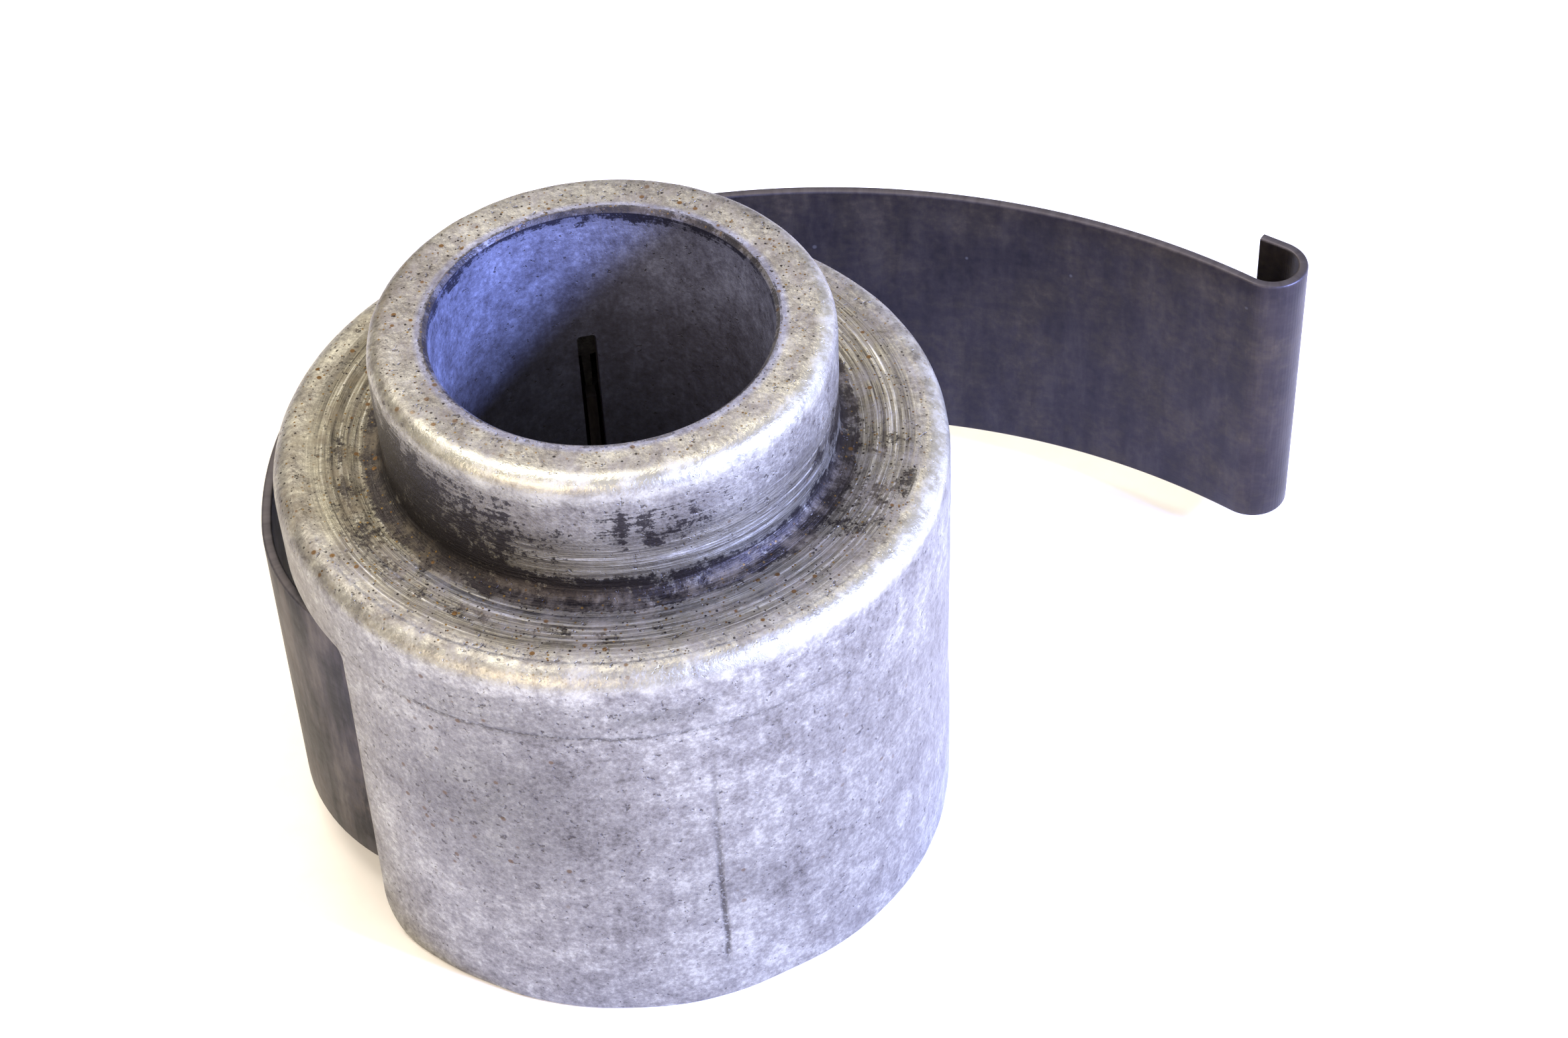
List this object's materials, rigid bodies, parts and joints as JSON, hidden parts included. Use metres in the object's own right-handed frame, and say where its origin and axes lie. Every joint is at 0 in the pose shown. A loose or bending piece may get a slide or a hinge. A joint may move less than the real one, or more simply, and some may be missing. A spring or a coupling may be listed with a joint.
{
  "type": "strip spring hub",
  "caption": "Cast hub with a through bore and a neck journal. A flat steel strip spring winds inside it, leaves through a window in the skirt and ends in a hook.",
  "frame": {"origin": "on the bore axis, in the plane that the skirt and the inner tube stand on", "axes": "+Z along the bore axis, up through the neck; +X to the right of the arm's hook side; +Y to the back, where the arm sweeps round"},
  "size_m": [0.0841, 0.0615, 0.048],
  "materials": {
    "casting": "worn die casting, dull grey with grime and rubbed edges",
    "spring_steel": "hardened and blued strip, near black, satin"
  },
  "bodies": {
    "hub": {"hub_casting": "casting", "spring_coil": "spring_steel", "spring_exit": "spring_steel"},
    "arm_01": {"spring_arm_01": "spring_steel"},
    "arm_02": {"spring_arm_02": "spring_steel"},
    "arm_03": {"spring_arm_03": "spring_steel"},
    "arm_04": {"spring_arm_04": "spring_steel"},
    "arm_05": {"spring_arm_05": "spring_steel"},
    "arm_06": {"spring_arm_06": "spring_steel"},
    "arm_07": {"spring_arm_07": "spring_steel"},
    "arm_08": {"spring_arm_08": "spring_steel"},
    "arm_09": {"spring_arm_09": "spring_steel"},
    "arm_10": {"spring_arm_10": "spring_steel"},
    "arm_11": {"spring_arm_11": "spring_steel", "spring_hook": "spring_steel"}
  },
  "joints": [
    {"name": "arm_flex_01", "type": "hinge", "parent": "hub", "child": "arm_01", "pos_m": [-0.01786, -0.01174, 0.0162], "axis": [0, 0, -1], "range_deg": [-0.17, 0.53]},
    {"name": "arm_flex_02", "type": "hinge", "parent": "arm_01", "child": "arm_02", "pos_m": [-0.02405, -0.00594, 0.0162], "axis": [0, 0, -1], "range_deg": [-0.41, 1.31]},
    {"name": "arm_flex_03", "type": "hinge", "parent": "arm_02", "child": "arm_03", "pos_m": [-0.02652, 0.00219, 0.0162], "axis": [0, 0, -1], "range_deg": [-0.81, 2.61]},
    {"name": "arm_flex_04", "type": "hinge", "parent": "arm_03", "child": "arm_04", "pos_m": [-0.02505, 0.01289, 0.0162], "axis": [0, 0, -1], "range_deg": [-1.29, 4.17]},
    {"name": "arm_flex_05", "type": "hinge", "parent": "arm_04", "child": "arm_05", "pos_m": [-0.02012, 0.0225, 0.0162], "axis": [0, 0, -1], "range_deg": [-1.29, 4.17]},
    {"name": "arm_flex_06", "type": "hinge", "parent": "arm_05", "child": "arm_06", "pos_m": [-0.01227, 0.02993, 0.0162], "axis": [0, 0, -1], "range_deg": [-1.29, 4.17]},
    {"name": "arm_flex_07", "type": "hinge", "parent": "arm_06", "child": "arm_07", "pos_m": [-0.00241, 0.03434, 0.0162], "axis": [0, 0, -1], "range_deg": [-2.61, 8.46]},
    {"name": "arm_flex_08", "type": "hinge", "parent": "arm_07", "child": "arm_08", "pos_m": [0.00932, 0.03608, 0.0162], "axis": [0, 0, -1], "range_deg": [-4, 13], "stiffness_Nm_per_rad": 0.5},
    {"name": "arm_flex_09", "type": "hinge", "parent": "arm_08", "child": "arm_09", "pos_m": [0.02116, 0.03536, 0.0162], "axis": [0, 0, -1], "range_deg": [-4.01, 13.01]},
    {"name": "arm_flex_10", "type": "hinge", "parent": "arm_09", "child": "arm_10", "pos_m": [0.03259, 0.03221, 0.0162], "axis": [0, 0, -1], "range_deg": [-4.01, 13.01]},
    {"name": "arm_flex_11", "type": "hinge", "parent": "arm_10", "child": "arm_11", "pos_m": [0.04313, 0.02678, 0.0162], "axis": [0, 0, -1], "range_deg": [-4.01, 13.01]}
  ],
  "couplings": [
    {"joint": "arm_flex_01", "follows": "arm_flex_08", "ratio": 0.04},
    {"joint": "arm_flex_02", "follows": "arm_flex_08", "ratio": 0.1},
    {"joint": "arm_flex_03", "follows": "arm_flex_08", "ratio": 0.2},
    {"joint": "arm_flex_04", "follows": "arm_flex_08", "ratio": 0.32},
    {"joint": "arm_flex_05", "follows": "arm_flex_08", "ratio": 0.32},
    {"joint": "arm_flex_06", "follows": "arm_flex_08", "ratio": 0.32},
    {"joint": "arm_flex_07", "follows": "arm_flex_08", "ratio": 0.65},
    {"joint": "arm_flex_09", "follows": "arm_flex_08", "ratio": 1},
    {"joint": "arm_flex_10", "follows": "arm_flex_08", "ratio": 1},
    {"joint": "arm_flex_11", "follows": "arm_flex_08", "ratio": 1}
  ]
}
